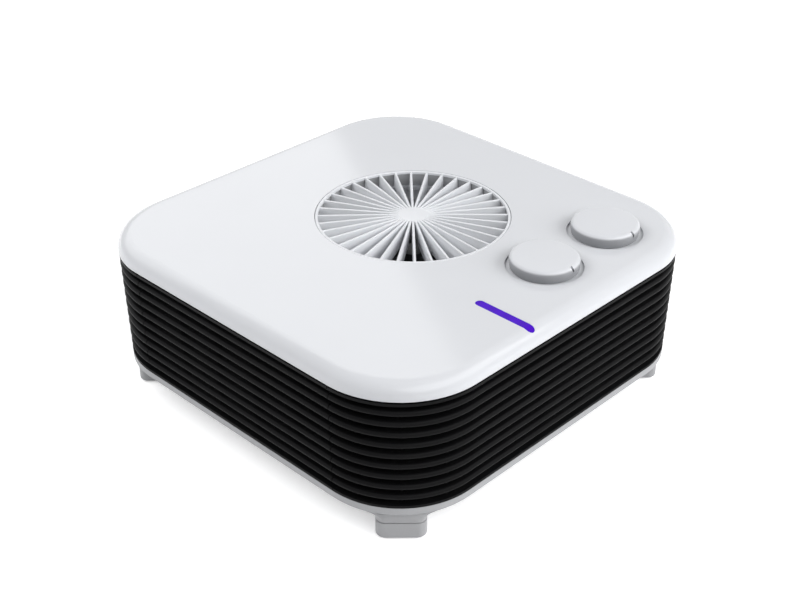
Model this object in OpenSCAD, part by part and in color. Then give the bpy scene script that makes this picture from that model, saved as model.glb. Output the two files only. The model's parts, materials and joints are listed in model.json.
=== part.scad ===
// Flat square fan heater. Air comes in through the round grille in the top, a fan lying flat under it
// throws the air out through a ring of heating wire, and it leaves through the louvres all round.
// The origin is on the floor at the middle of the body, Z is up and the controls are along the -Y edge.

/* [Body] */
// Width and depth of the top cover
body_w = 250; // [240:1:280]
// Radius of the cover's corners, seen from above
corner_r = 50; // [48:1:60]
// Height from the floor to the underside of the base
foot_h = 16.6; // [14:0.2:24]
// Height of the base's rim that shows below the louvres
rim_h = 5.8; // [4.4:0.2:8]
// Height of the louvred band
band_h = 65; // [60:1:80]
// Height of the cover's outside wall
cover_h = 8.6; // [8.2:0.2:12]
// Rounding of the cover's upper edge
edge_r = 8; // [3:0.2:8]
// Wall thickness of the moulded cover
wall = 2.4; // [2:0.1:2.8]
// Thickness of the base's floor
floor_t = 2.2; // [1.8:0.1:3]
// Distance from the body's faces to the middle of each foot
foot_inset = 27.8; // [27:0.1:29]
// Width of a foot below its flare
foot_w = 28; // [25:0.5:30]
// Radius of a foot's upright edges
foot_edge_r = 4.5; // [2:0.5:8]

/* [Louvres] */
// Number of louvres between the two rails
louvre_count = 9; // [6:1:10]
// Thickness of a louvre at its rounded front
louvre_t = 3.2; // [2.4:0.1:3.6]
// Depth of a louvre from front to back
louvre_depth = 8.2; // [7.4:0.1:8.6]
// Height of the rail along the top and the bottom of a panel
rail_h = 1.6; // [1.4:0.1:3]
// How far the band leans inwards from its top to its bottom
band_lean = 1.5; // [0:0.1:2.2]
// How far the cover stands out over the band
overhang = 0.2; // [0.1:0.1:1.2]
// Height of the dark gap between the cover and the band
shadow_gap = 1.2; // [0.6:0.1:2]
// Number of upright ribs along each straight side
rib_count = 6; // [4:1:8]
// Thickness of the upright ribs
rib_t = 1.8; // [1.2:0.1:2.4]

/* [Intake] */
// Distance of the fan's axis from the middle, towards the right
fan_x = 16; // [6:1:20]
// Distance of the fan's axis from the middle, towards the back
fan_y = 4; // [0:1:12]
// Outside radius of the intake grille
grille_r = 55.4; // [50:0.2:60]
// Depth of the grille and its fins
grille_h = 9.2; // [5:0.2:9.6]
// Width of the grille's outer ring
grille_ring_w = 2.8; // [2:0.1:4]
// Number of fins, a multiple of four
fin_count = 36; // [28:4:44]
// Thickness of a fin
fin_t = 1.5; // [1:0.1:1.8]
// Radius of the grille's solid middle
grille_hub_r = 9; // [8:0.5:16]

/* [Controls] */
// Distance from the front face to the middle of the knobs
knob_inset = 39; // [38:0.5:44]
// Distance from the right face to the middle of the thermostat knob
knob_side = 49.4; // [48:0.2:54]
// Spacing of the thermostat knob, the mode knob and the light bar
control_pitch = 52.6; // [50:0.2:54]
// Radius of a knob
knob_r = 20; // [17:0.5:21]
// Height of a knob above the cover
knob_h = 6.4; // [5:0.2:12]
// Radius of a knob's edge rounding
knob_edge_r = 1.8; // [0.6:0.1:2]
// Length of the light bar
led_len = 37.4; // [32:0.2:40]
// Width of the light bar
led_w = 4.8; // [3:0.1:6]
// Distance from the front face to the end of the light bar
led_inset = 3; // [2.4:0.1:6]

/* [Fan and motor] */
// Number of blades on the fan wheel
blade_count = 24; // [16:1:28]
// Thickness of a fan blade
blade_t = 1.4; // [1:0.1:1.8]
// Radius of the motor's shaft
shaft_r = 2.5; // [2:0.1:3]
// Width of the motor's stack of laminations
stack_w = 62; // [60:1:66]
// Height of the stack of laminations
stack_h = 14; // [10:1:15]

/* [Heating element] */
// Number of mica cards that carry the wire
card_count = 8; // [6:1:12]
// Number of turns of each heating coil
coil_rows = 3; // [2:1:3]
// Outside radius of the wound wire
coil_r = 2.2; // [1.6:0.1:2.4]

/* [Fits] */
// Clearance between pieces that slot together
fit = 0.3; // [0.2:0.05:0.4]
// Radial clearance of a turning shaft
running_fit = 0.05; // [0.02:0.01:0.1]

/* [Hidden] */
$fn = 96;
// Small overlap that makes cuts and joins clean
eps = 0.5;

// Levels, from the floor up
z_base = foot_h;
z_floor = z_base + floor_t;
z_band = z_base + rim_h;
z_cover = z_band + band_h;
z_top = z_cover + cover_h;
z_under = z_top - wall;

// The corner arcs' centres lie this far from the middle, and radii below are measured from them
half_w = body_w / 2;
arc_c = half_w - corner_r;

// Band and the pieces that hold it
band_top_r = corner_r - overhang;
panel_in_r = band_top_r - louvre_depth;
cover_in_r = max(0.4, edge_r - wall);
tongue_t = cover_in_r + 0.8;
tongue_top_r = corner_r - wall - fit;
tongue_base_r = band_r(z_band) - 2 - fit;
locator_t = 1.6;
locator_h = 5;
rim_step = 1;
rib_depth = tongue_base_r - panel_in_r - 0.9;
louvre_gap = (band_h - shadow_gap - 2 * rail_h - louvre_count * louvre_t) / (louvre_count + 1);
seam = 0.4;

// Screws and the towers that take them
tower_r = 5;
screw_r = 1.6;
foot_c = half_w - foot_inset;
foot_shelf_h = 8;
foot_arc_c = foot_w / 2 - foot_edge_r;
pad_r = foot_w / 2 - 3.5;
pad_t = 2.4;
pad_proud = 0.6;

// Intake
collar_t = 2.6;
well_r = grille_r + fit;
ledge_w = 3.6;
ledge_t = 2;
z_seat = z_top - grille_h;
z_collar = z_seat - ledge_t;
inlet_t = 1.6;
wheel_r = 0.376 * half_w;
throat_r = wheel_r - 12.6;
mouth_r = 6;
inlet_screw_r = 1.1;

// Controls
knob_y = knob_inset - half_w;
thermostat_x = half_w - knob_side;
mode_x = thermostat_x - control_pitch;
led_x = mode_x - control_pitch;
led_y = led_inset - half_w;
recess_r = knob_r + 1.2;
recess_depth = 1;
knob_gap = 0.5;
knob_wall = 2;
z_knob = z_top - recess_depth + knob_gap;
knob_pad_t = 1.6;
spindle_r = 3;
spindle_flat = 2.2;
bushing_r = 4.5;
bracket_t = 1.2;
z_bracket = z_under - 4.6;
bracket_boss_y = 16.8;
bracket_hw = 11;
bracket_hd = 20;
switch_w = 26;
switch_h = 18;

// Light bar
board_t = 1.2;
led_h = 1.9;
bar_flange_t = 1;
bar_flange_w = led_w + 2.4;
z_board = z_under - bar_flange_t - led_h - board_t;
led_post_r = 1.4;
led_post_x = bar_flange_w / 2 + led_post_r + 0.3;
led_post_pitch = 24;
led_y_mid = led_y + led_len / 2;
// The board and the bar's flange start behind the cover's lip and end past the bar
board_w = 2 * led_post_x + 4;
board_y = 0.8 - arc_c - tongue_top_r + tongue_t + fit + locator_t;
board_l = led_y + led_len + 3 - board_y;
board_y_mid = board_y + board_l / 2;

// Deck, fan wheel and element
// Levels go up from the base to the deck, and the wheel fills the height that is left
bolt_head_h = 1.8;
bracket_gap = 8;
z_stack = z_floor + 1.4 + bolt_head_h + bracket_gap;
deck_t = 1.2;
z_deck = z_stack + stack_h + bracket_gap + deck_t;
wheel_floor_gap = 3.8;
wheel_top_gap = mouth_r - 0.6;
z_wheel = z_deck + wheel_floor_gap;
wheel_h = z_collar - wheel_top_gap - z_wheel;
deck_r = wheel_r + 25;
pillar_at = deck_r + 6;
pillar_r = 5;
mica_t = 1;
fuse_r = 2;
frame_in_r = wheel_r + 8;
frame_out_r = deck_r - 3;
frame_h = z_collar - inlet_t - 2 * fuse_r - 0.6 - z_deck;
coil_in_r = frame_in_r + 4.2;
coil_out_r = frame_out_r - 4;
coil_pitch = (frame_h - 2 * mica_t) / (coil_rows + 1);
cutout_at = deck_r + 9;

// Motor, hung under the deck
limb = 7.2;
window_l = stack_w - 35;
winding_l = window_l - 1;
bearing_r = 5;
bearing_h = 6;
pot_r = 7.5;
rotor_gap = 0.3;
bore_r = 15.2;
bolt_at = stack_w / 2 - 7;
bolt_r = 1.5;
z_bolt_head = z_stack - bracket_gap;

// Cord inlet at the back
gland_x = -60;
gland_boss_r = 11;
gland_neck_r = 6;
gland_flange_r = gland_neck_r + 2;
gland_bore_r = 3.6;
gland_z = z_band + locator_h + gland_flange_r + 1;
gland_face = arc_c + band_r(gland_z) + 0.4;

// Outer radius of the band at a height, measured from a corner arc's centre
function band_r(z) = band_top_r - band_lean * (z_cover - z) / band_h;

// Height of the middle of a louvre, counted up from 1
function louvre_z(i) = z_band + rail_h + i * louvre_gap + (i - 0.5) * louvre_t;

// One straight side of a profile that runs round a rounded square whose corner arcs' centres lie
// at, at from its middle. Side 0 faces +X
module along_side(side, length, at = arc_c) {
    rotate([0, 0, 90 * side])
        translate([at, length / 2, 0])
            rotate([90, 0, 0])
                linear_extrude(length)
                    children();
}

// The same profile taken round a corner. Corner 0 is between +X and +Y
module round_corner(corner, at = arc_c) {
    rotate([0, 0, 90 * corner])
        translate([at, at, 0])
            rotate_extrude(angle = 90)
                children();
}

// The profile taken all the way round
module round_square(at = arc_c) {
    for (side = [0 : 3]) {
        along_side(side, 2 * at, at) children();
        round_corner(side, at) children();
    }
}

// A rectangle from the origin whose upper right corner is rounded
module rounded_block(w, h, r) {
    square([w, h - r]);
    square([w - r, h]);
    translate([w - r, h - r])
        intersection() {
            circle(r);
            square(r);
        }
}

// A flat plate with rounded corners, centred, standing on z = 0
module rounded_plate(w, d, t, r) {
    linear_extrude(t) {
        square([w, d - 2 * r], center = true);
        square([w - 2 * r, d], center = true);
        for (x = [-1, 1], y = [-1, 1])
            translate([x * (w / 2 - r), y * (d / 2 - r)])
                circle(r);
    }
}

// Places its children on the fan's axis
module at_fan(z = 0) {
    translate([fan_x, fan_y, z])
        children();
}

// Places its children at the four corners of the body
module at_corners(z) {
    for (x = [-1, 1], y = [-1, 1])
        translate([x * foot_c, y * foot_c, z])
            children();
}

// Places its children at both control knobs
module at_knobs(z) {
    for (x = [mode_x, thermostat_x])
        translate([x, knob_y, z])
            children();
}

// A pan-head screw pointing up, with its head's seat at z = 0
module screw_up(r, length, head_h) {
    difference() {
        translate([0, 0, -head_h])
            cylinder(r = 1.9 * r, h = head_h);
        translate([0, 0, -head_h - eps])
            cylinder(r = 0.8 * r, h = head_h / 2 + eps, $fn = 6);
    }
    cylinder(r = r, h = length);
}

module cover_profile() {
    difference() {
        rounded_block(corner_r, cover_h, edge_r);
        translate([-eps, -eps])
            rounded_block(corner_r - wall + eps, cover_h - wall + eps, cover_in_r);
    }
    // The lip that the louvre panels' tongues stand against
    translate([tongue_top_r - tongue_t - fit - locator_t, 0])
        square([locator_t, cover_h - wall / 2]);
}

// A screw tower with three gussets, standing on the base and joined to the cover
module cover_tower() {
    gusset_h = 20;
    gusset_w = 8;
    translate([0, 0, z_floor])
        cylinder(r = tower_r, h = z_under + wall / 2 - z_floor);
    for (a = [180, 225, 270])
        rotate([0, 0, a])
            translate([tower_r - 1, 0.7, z_under + wall / 2])
                rotate([90, 0, 0])
                    linear_extrude(1.4)
                        polygon([[0, 0], [gusset_w, 0], [0, -gusset_h]]);
}

module light_slot(clearance) {
    translate([led_x, led_y_mid, z_under - bar_flange_t - clearance])
        rounded_plate(led_w + 2 * clearance, led_len + 2 * clearance, wall + bar_flange_t + 2 * eps,
            led_w / 2 + clearance - 0.01);
}

module top_cover() {
    color("whitesmoke")
        difference() {
            union() {
                translate([0, 0, z_cover])
                    round_square() cover_profile();
                translate([-arc_c, -arc_c, z_under])
                    cube([2 * arc_c, 2 * arc_c, wall]);
                at_fan(z_collar)
                    cylinder(r = well_r + collar_t, h = z_under + wall / 2 - z_collar);
                at_knobs(z_under - knob_pad_t)
                    cylinder(r = recess_r + 2, h = knob_pad_t + wall / 2);
                at_knobs(z_bracket)
                    for (y = [-bracket_boss_y, bracket_boss_y])
                        translate([0, y, 0])
                            cylinder(r = 3.5, h = z_under - z_bracket + 0.2);
                for (side = [0 : 3])
                    rotate([0, 0, 90 * side])
                        translate([foot_c, foot_c, 0])
                            cover_tower();
                led_posts();
            }
            at_fan(z_seat)
                cylinder(r = well_r, h = grille_h + eps);
            at_fan(z_collar - eps)
                cylinder(r = well_r - ledge_w, h = grille_h);
            at_fan(z_collar - eps)
                inlet_fixings() cylinder(r = inlet_screw_r, h = ledge_t + 2 * eps);
            at_knobs(z_top - recess_depth)
                cylinder(r = recess_r, h = recess_depth + eps);
            at_knobs(z_bracket - eps)
                cylinder(r = bushing_r + 0.6, h = z_top - z_bracket);
            at_knobs(z_bracket - eps)
                for (y = [-bracket_boss_y, bracket_boss_y])
                    translate([0, y, 0])
                        cylinder(r = inlet_screw_r, h = z_under - z_bracket + 0.6);
            light_slot(fit / 2);
            at_corners(z_floor - eps)
                cylinder(r = screw_r, h = 14);
        }
}

// Moulded pins under the cover that the light's circuit board is staked on
module led_posts() {
    pin_r = led_post_r / 2;
    for (x = [-led_post_x, led_post_x], y = [-led_post_pitch / 2, led_post_pitch / 2])
        translate([led_x + x, board_y_mid + y, 0]) {
            translate([0, 0, z_board + board_t])
                cylinder(r = led_post_r, h = z_under - z_board - board_t + 0.2);
            translate([0, 0, z_board - eps])
                cylinder(r = pin_r, h = board_t + 2 * eps);
            translate([0, 0, z_board - 0.7])
                cylinder(r = led_post_r, h = 0.7);
        }
}

// Outer ring, hub and radial fins, with a gap between two fins in line with each side of the body
module grille_pattern() {
    difference() {
        circle(grille_r);
        circle(grille_r - grille_ring_w);
    }
    circle(grille_hub_r);
    for (i = [0 : fin_count - 1])
        rotate((i + 0.5) * 360 / fin_count)
            translate([grille_hub_r - 1, -fin_t / 2])
                square([grille_r - grille_ring_w / 2 - grille_hub_r + 1, fin_t]);
}

module intake_grille() {
    skin = 2.4;
    color("gainsboro")
        at_fan(z_seat)
            difference() {
                linear_extrude(grille_h) grille_pattern();
                // The hub is cored from below
                translate([0, 0, -eps])
                    cylinder(r = grille_hub_r - skin, h = grille_h - skin + eps);
            }
}

// Three fixings spread round the collar
module inlet_fixings() {
    for (a = [30, 150, 270])
        rotate([0, 0, a])
            translate([well_r - ledge_w / 2 + 0.6, 0, 0])
                children();
}

// Bell mouth that leads the air from the grille into the eye of the fan wheel
module inlet_profile() {
    arc_r = mouth_r;
    arc_x = throat_r + arc_r;
    arc_z = z_collar - arc_r;
    translate([arc_x, z_collar - inlet_t])
        square([well_r + collar_t - arc_x - 0.4, inlet_t]);
    translate([arc_x, arc_z])
        intersection() {
            difference() {
                circle(arc_r);
                circle(arc_r - inlet_t);
            }
            translate([-arc_r, 0])
                square([arc_r, arc_r]);
        }
}

module inlet_ring() {
    color("dimgray")
        difference() {
            at_fan() rotate_extrude() inlet_profile();
            at_fan(z_collar - inlet_t - eps)
                inlet_fixings() cylinder(r = inlet_screw_r + 0.1, h = inlet_t + 2 * eps);
        }
}

module inlet_screws() {
    color("silver")
        at_fan(z_collar - inlet_t)
            inlet_fixings() screw_up(inlet_screw_r, inlet_t + ledge_t - 0.2, 1.3);
}

// Section through a louvre panel: two rails with their tongues, and the louvres between them
module panel_profile() {
    top = z_cover - shadow_gap;
    nose = louvre_t / 2;
    taper = 0.5;
    // Bottom rail, whose tongue stands in the base's groove
    polygon([
        [panel_in_r, z_floor], [tongue_base_r, z_floor], [tongue_base_r, z_band],
        [band_r(z_band), z_band], [band_r(z_band + rail_h), z_band + rail_h],
        [panel_in_r, z_band + rail_h]
    ]);
    // Top rail, whose tongue stands behind the cover's wall and carries the cover
    polygon([
        [panel_in_r, top - rail_h], [band_r(top - rail_h), top - rail_h], [band_r(top), top],
        [tongue_top_r, top], [tongue_top_r, z_under - cover_in_r],
        [tongue_top_r - cover_in_r, z_under], [tongue_top_r - tongue_t, z_under],
        [tongue_top_r - tongue_t, top], [panel_in_r, top]
    ]);
    for (i = [1 : louvre_count])
        translate([0, louvre_z(i)]) {
            nose_x = band_r(louvre_z(i)) - nose;
            translate([nose_x, 0])
                circle(nose);
            polygon([
                [panel_in_r, taper - nose], [nose_x, -nose], [nose_x, nose],
                [panel_in_r, nose - taper]
            ]);
        }
}

// An upright rib that ties the louvres together, set back from their fronts
module panel_rib() {
    translate([panel_in_r, -rib_t / 2, z_floor])
        cube([rib_depth, rib_t, z_cover - shadow_gap - z_floor]);
}

// Ribs spread along a straight side, from the first to the last of its places
module side_ribs(side, length, first, last) {
    pitch = (length - rib_t) / (rib_count - 1);
    for (i = [first : last])
        rotate([0, 0, 90 * side])
            translate([arc_c, (rib_t - length) / 2 + i * pitch, 0])
                panel_rib();
}

// Ribs round a corner, and one flush with the end that meets a side panel
module corner_ribs(corner, end_angle) {
    rotate([0, 0, 90 * corner])
        translate([arc_c, arc_c, 0]) {
            for (a = [15, 45, 75])
                rotate([0, 0, a])
                    panel_rib();
            translate(end_angle == 0 ? [0, rib_t / 2, 0] : [rib_t / 2, 0, 0])
                rotate([0, 0, end_angle])
                    panel_rib();
        }
}

// A straight side panel
module side_panel(side) {
    length = 2 * arc_c - 2 * seam;
    along_side(side, length) panel_profile();
    side_ribs(side, length, 0, rib_count - 1);
}

// A panel that takes in one side and the corners at both its ends
module wrap_panel(side) {
    along_side(side, 2 * arc_c) panel_profile();
    side_ribs(side, 2 * arc_c, 1, rib_count - 2);
    round_corner(side) panel_profile();
    round_corner(side - 1) panel_profile();
    corner_ribs(side, 90);
    corner_ribs(side - 1, 0);
}

module front_louvre_panel() {
    color("black")
        difference() {
            wrap_panel(3);
            // Notch that lets the light bar through the tongue
            translate([led_x - led_w / 2 - fit, -arc_c - corner_r, z_under - bar_flange_t - fit])
                cube([led_w + 2 * fit, corner_r, bar_flange_t + fit + eps]);
        }
}

module rear_louvre_panel() {
    color("black")
        difference() {
            union() {
                wrap_panel(1);
                // Plain boss that the cord inlet is set in
                translate([gland_x, arc_c + panel_in_r, gland_z])
                    rotate([-90, 0, 0])
                        cylinder(r = gland_boss_r, h = gland_face - arc_c - panel_in_r);
            }
            translate([gland_x, arc_c + panel_in_r - eps, gland_z])
                rotate([-90, 0, 0])
                    cylinder(r = gland_neck_r + 0.2, h = louvre_depth + 2 * eps);
        }
}

module left_louvre_panel() {
    color("black") side_panel(2);
}

module right_louvre_panel() {
    color("black") side_panel(0);
}

module base_profile() {
    step_h = 1.9;
    rim_r = band_r(z_band);
    translate([0, step_h])
        mirror([0, 1])
            rounded_block(rim_r - rim_step, step_h, 1.2);
    square([tongue_base_r + fit - eps, floor_t]);
    translate([tongue_base_r + fit, step_h])
        square([rim_r - tongue_base_r - fit, rim_h - step_h]);
    translate([panel_in_r - fit - locator_t, floor_t / 2])
        square([locator_t, rim_h + locator_h - floor_t / 2]);
}

module base_tray() {
    color("lightgray")
        difference() {
            union() {
                translate([0, 0, z_base])
                    round_square() base_profile();
                translate([-arc_c, -arc_c, z_base])
                    cube([2 * arc_c, 2 * arc_c, floor_t]);
                deck_fixings(z_base + floor_t / 2)
                    cylinder(r = pillar_r, h = z_deck - deck_t - z_base - floor_t / 2);
                deck_fixings(z_base + floor_t / 2)
                    for (a = [0, 90])
                        rotate([0, 0, a])
                            translate([-pillar_r - 3, -0.8, 0])
                                cube([2 * pillar_r + 6, 1.6, 14]);
            }
            at_corners(z_base - eps)
                cylinder(r = screw_r + 0.3, h = floor_t + 2 * eps);
            deck_fixings(z_deck - deck_t - 10)
                cylinder(r = screw_r, h = 10 + eps);
        }
}

module housing_screws() {
    color("silver")
        at_corners(foot_shelf_h)
            screw_up(screw_r, z_floor + 12 - foot_shelf_h, 2.2);
}

// Upright section through a foot's edge: a small rounding at the toe, a groove, and a flare under the base
module foot_profile() {
    toe_r = 1.2;
    flare_r = 4;
    groove_z = foot_h - 6.1;
    groove_d = 0.7;
    difference() {
        translate([0, foot_h])
            mirror([0, 1])
                rounded_block(foot_edge_r, foot_h - pad_proud, toe_r);
        translate([foot_edge_r - groove_d, groove_z])
            square([groove_d + eps, 0.9]);
    }
    difference() {
        translate([foot_edge_r - eps, foot_h - flare_r + 0.2])
            square([flare_r + eps, flare_r - 0.2]);
        translate([foot_edge_r + flare_r, foot_h - flare_r])
            circle(flare_r);
    }
}

// A rounded block turned to face out of its corner
module foot(x, y) {
    clip = 2 * (arc_c + band_r(z_band) - rim_step);
    color("lightgray")
        difference() {
            intersection() {
                translate([x * foot_c, y * foot_c, 0])
                    rotate([0, 0, 45]) {
                        round_square(foot_arc_c) foot_profile();
                        translate([-foot_arc_c, -foot_arc_c, pad_proud])
                            cube([2 * foot_arc_c, 2 * foot_arc_c, foot_h - pad_proud]);
                    }
                // The flare stops at the base's outline
                rounded_plate(clip, clip, foot_h, clip / 2 - arc_c);
            }
            translate([x * foot_c, y * foot_c, 0]) {
                cylinder(r = pad_r + 0.2, h = pad_t);
                translate([0, 0, pad_t - eps])
                    cylinder(r = 1.9 * screw_r + 0.5, h = foot_shelf_h - pad_t + eps);
                cylinder(r = screw_r + 0.3, h = foot_h + eps);
            }
        }
}

module foot_front_left() foot(-1, -1);
module foot_front_right() foot(1, -1);
module foot_rear_left() foot(-1, 1);
module foot_rear_right() foot(1, 1);

// Rubber pad set in the underside of a foot
module pad(x, y) {
    color("dimgray")
        translate([x * foot_c, y * foot_c, 0])
            cylinder(r = pad_r, h = pad_t);
}

module pad_front_left() pad(-1, -1);
module pad_front_right() pad(1, -1);
module pad_rear_left() pad(-1, 1);
module pad_rear_right() pad(1, 1);

// Grommet in the back that a supply cord would pass through
module cord_gland() {
    flange_t = 0.8;
    inside = arc_c + panel_in_r;
    color("black")
        translate([gland_x, 0, gland_z])
            rotate([-90, 0, 0])
                difference() {
                    union() {
                        translate([0, 0, inside - 1.6])
                            cylinder(r = gland_neck_r, h = gland_face + flange_t - inside + 1.6);
                        translate([0, 0, gland_face])
                            cylinder(r = gland_neck_r + 3, h = flange_t);
                        translate([0, 0, inside - 1.6])
                            cylinder(r = gland_flange_r, h = 1.6);
                    }
                    translate([0, 0, inside - 2])
                        cylinder(r = gland_bore_r, h = louvre_depth + 8);
                }
}

// Ceramic terminal block with three screws, standing on the base behind the cord inlet
module terminal_block() {
    block_w = 36;
    block_d = 18;
    block_h = 14;
    pitch = 11;
    color("ivory")
        translate([gland_x, arc_c + panel_in_r - 18 - block_d / 2, z_floor])
            difference() {
                rounded_plate(block_w, block_d, block_h, 2);
                for (x = [-pitch, 0, pitch]) {
                    translate([x, -block_d, block_h / 2 - 1])
                        rotate([-90, 0, 0])
                            cylinder(r = 2, h = 2 * block_d);
                    translate([x, 0, block_h / 2])
                        cylinder(r = 2.4, h = block_h);
                }
            }
}

module control_bracket() {
    span = control_pitch + 2 * bracket_hw;
    color("silver")
        difference() {
            translate([mode_x - bracket_hw + span / 2, knob_y, z_bracket - bracket_t])
                rounded_plate(span, 2 * bracket_hd, bracket_t, 3);
            at_knobs(z_bracket - bracket_t - eps)
                cylinder(r = bushing_r + 0.1, h = bracket_t + 2 * eps);
            at_knobs(z_bracket - bracket_t - eps)
                for (y = [-bracket_boss_y, bracket_boss_y])
                    translate([0, y, 0])
                        cylinder(r = inlet_screw_r + 0.2, h = bracket_t + 2 * eps);
            // Window that lightens the plate between the two controls
            translate([mode_x + control_pitch / 2, knob_y, z_bracket - bracket_t - eps])
                rounded_plate(control_pitch - switch_w - 10, switch_w, bracket_t + 2 * eps, 3);
        }
}

module bracket_screws() {
    color("silver")
        at_knobs(z_bracket - bracket_t)
            for (y = [-bracket_boss_y, bracket_boss_y])
                translate([0, y, 0])
                    screw_up(inlet_screw_r, bracket_t + z_under - z_bracket, 1.3);
}

// Hexagon nuts that clamp both controls to their bracket
module bushing_nuts() {
    nut_h = 2;
    color("goldenrod")
        at_knobs(z_bracket)
            difference() {
                cylinder(r = bushing_r + 2.6, h = nut_h, $fn = 6);
                translate([0, 0, -eps])
                    cylinder(r = bushing_r, h = nut_h + 2 * eps);
            }
}

// Threaded bushing of a control, with the bore that its spindle turns in
module bushing() {
    translate([0, 0, z_bracket - bracket_t - 2])
        cylinder(r = bushing_r, h = z_under - knob_pad_t - 0.6 - z_bracket + bracket_t + 2);
}

module spindle_bore() {
    translate([0, 0, z_bracket - bracket_t - switch_h + 3])
        cylinder(r = spindle_r + running_fit, h = switch_h + z_top - z_bracket);
}

// Rotary switch: phenolic body, bushing, and four blade terminals underneath
module mode_switch() {
    color("saddlebrown")
        translate([mode_x, knob_y, 0])
            difference() {
                union() {
                    translate([0, 0, z_bracket - bracket_t - switch_h])
                        rounded_plate(switch_w, switch_w, switch_h, 3);
                    bushing();
                    for (x = [-8, 8], y = [-6, 6])
                        translate([x - 0.4, y - 2.4, z_bracket - bracket_t - switch_h - 7])
                            cube([0.8, 4.8, 7.5]);
                }
                spindle_bore();
            }
}

// Capillary-free thermostat: ceramic block, bushing, and a bimetal blade along one side
module thermostat() {
    block_d = 22;
    block_h = 12;
    blade_l = 34;
    color("ivory")
        translate([thermostat_x, knob_y, 0])
            difference() {
                union() {
                    translate([0, 0, z_bracket - bracket_t - block_h])
                        rounded_plate(switch_w, block_d, block_h, 2);
                    translate([0, 0, z_bracket - bracket_t - switch_h])
                        cylinder(r = 7, h = switch_h);
                    bushing();
                    for (z = [4, 8])
                        translate([-switch_w / 2 - 6, -5 + z / 4, z_bracket - bracket_t - z])
                            cube([blade_l, 8, 0.8]);
                    translate([-switch_w / 2 - 5, -1, z_bracket - bracket_t - 9])
                        cylinder(r = 2.2, h = 6);
                }
                spindle_bore();
            }
}

// A control's spindle, flattened where the knob grips it
module spindle(x) {
    base_z = z_bracket - bracket_t - switch_h + 3.2;
    color("silver")
        translate([x, knob_y, 0])
            difference() {
                translate([0, 0, base_z])
                    cylinder(r = spindle_r, h = z_knob + knob_h + 0.5 - knob_wall - 0.8 - base_z);
                translate([-spindle_r - eps, spindle_flat, z_knob - 0.2])
                    cube([2 * spindle_r + 2 * eps, spindle_r, knob_h + 2]);
            }
}

module mode_switch_shaft() spindle(mode_x);
module thermostat_shaft() spindle(thermostat_x);

// Flat round knob: a shallow cup with a hub and webs inside and a pointer notch at its front edge
module knob(x) {
    height = knob_h + recess_depth - knob_gap;
    hub_r = spindle_r + 3;
    color("whitesmoke")
        translate([x, knob_y, z_knob])
            difference() {
                rotate_extrude() rounded_block(knob_r, height, knob_edge_r);
                difference() {
                    translate([0, 0, -eps])
                        cylinder(r = knob_r - knob_wall, h = height - knob_wall + eps);
                    cylinder(r = hub_r, h = height);
                    for (a = [0, 60, 120])
                        rotate([0, 0, a])
                            translate([-knob_r, -0.7, 0.8])
                                cube([2 * knob_r, 1.4, height]);
                }
                difference() {
                    translate([0, 0, -eps])
                        cylinder(r = spindle_r + running_fit, h = height - knob_wall);
                    translate([-spindle_r - eps, spindle_flat + running_fit, -2 * eps])
                        cube([2 * spindle_r + 2 * eps, spindle_r, height]);
                }
                translate([-0.8, -knob_r - eps, height - 2.2])
                    cube([1.6, 2.4, 4]);
            }
}

module mode_knob() knob(mode_x);
module thermostat_knob() knob(thermostat_x);

// Clear bar that lies flush in the cover and follows its rounded edge
module led_light_bar() {
    flange_l = board_l - 2;
    color("blueviolet") {
        intersection() {
            light_slot(0);
            translate([0, 0, z_cover])
                along_side(3, 2 * arc_c) rounded_block(corner_r, cover_h, edge_r);
        }
        translate([led_x, board_y + flange_l / 2, z_under - bar_flange_t])
            rounded_plate(bar_flange_w, flange_l, bar_flange_t, 1);
    }
}

// Circuit board with three lamps that shine up into the light bar
module led_board() {
    color("darkgreen")
        difference() {
            union() {
                translate([led_x, board_y_mid, z_board])
                    rounded_plate(board_w, board_l, board_t, 1);
                for (y = [-10, 0, 10])
                    translate([led_x - 1.6, board_y_mid + y - 1.4, z_board + board_t - 0.1])
                        cube([3.2, 2.8, led_h + 0.1]);
            }
            for (x = [-led_post_x, led_post_x], y = [-led_post_pitch / 2, led_post_pitch / 2])
                translate([led_x + x, board_y_mid + y, z_board - eps])
                    cylinder(r = led_post_r / 2 + 0.1, h = board_t + 2 * eps);
        }
}

// Four fixings round the deck, over the base's pillars
module deck_fixings(z) {
    for (a = [45 : 90 : 315])
        at_fan(z)
            rotate([0, 0, a])
                translate([pillar_at, 0, 0])
                    children();
}

// Steel deck under the fan wheel. It carries the motor, the element and the thermal cut-out
module deck_plate() {
    ear_r = 7;
    tab_r = 12;
    vent_at = 22;
    color("silver")
        difference() {
            at_fan(z_deck - deck_t)
                linear_extrude(deck_t) {
                    circle(deck_r);
                    for (a = [45 : 90 : 315])
                        rotate(a) {
                            translate([deck_r / 2, -ear_r])
                                square([pillar_at - deck_r / 2, 2 * ear_r]);
                            translate([pillar_at, 0])
                                circle(ear_r);
                        }
                    translate([-cutout_at, -tab_r])
                        square([cutout_at - deck_r / 2, 2 * tab_r]);
                    translate([-cutout_at, 0])
                        circle(tab_r);
                }
            at_fan(z_deck - deck_t - eps)
                cylinder(r = pot_r + 1, h = deck_t + 2 * eps);
            deck_fixings(z_deck - deck_t - eps)
                cylinder(r = screw_r + 0.2, h = deck_t + 2 * eps);
            motor_fixings(z_deck - deck_t - eps)
                cylinder(r = bolt_r, h = deck_t + 2 * eps);
            at_fan(z_deck - deck_t - eps)
                for (a = [0 : 60 : 300])
                    rotate([0, 0, a + 15])
                        translate([vent_at, 0, 0])
                            cylinder(r = 3.5, h = deck_t + 2 * eps);
        }
}

module deck_screws() {
    color("silver")
        deck_fixings(z_deck)
            rotate([180, 0, 0])
                screw_up(screw_r, deck_t + 9, 2.2);
}

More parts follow.
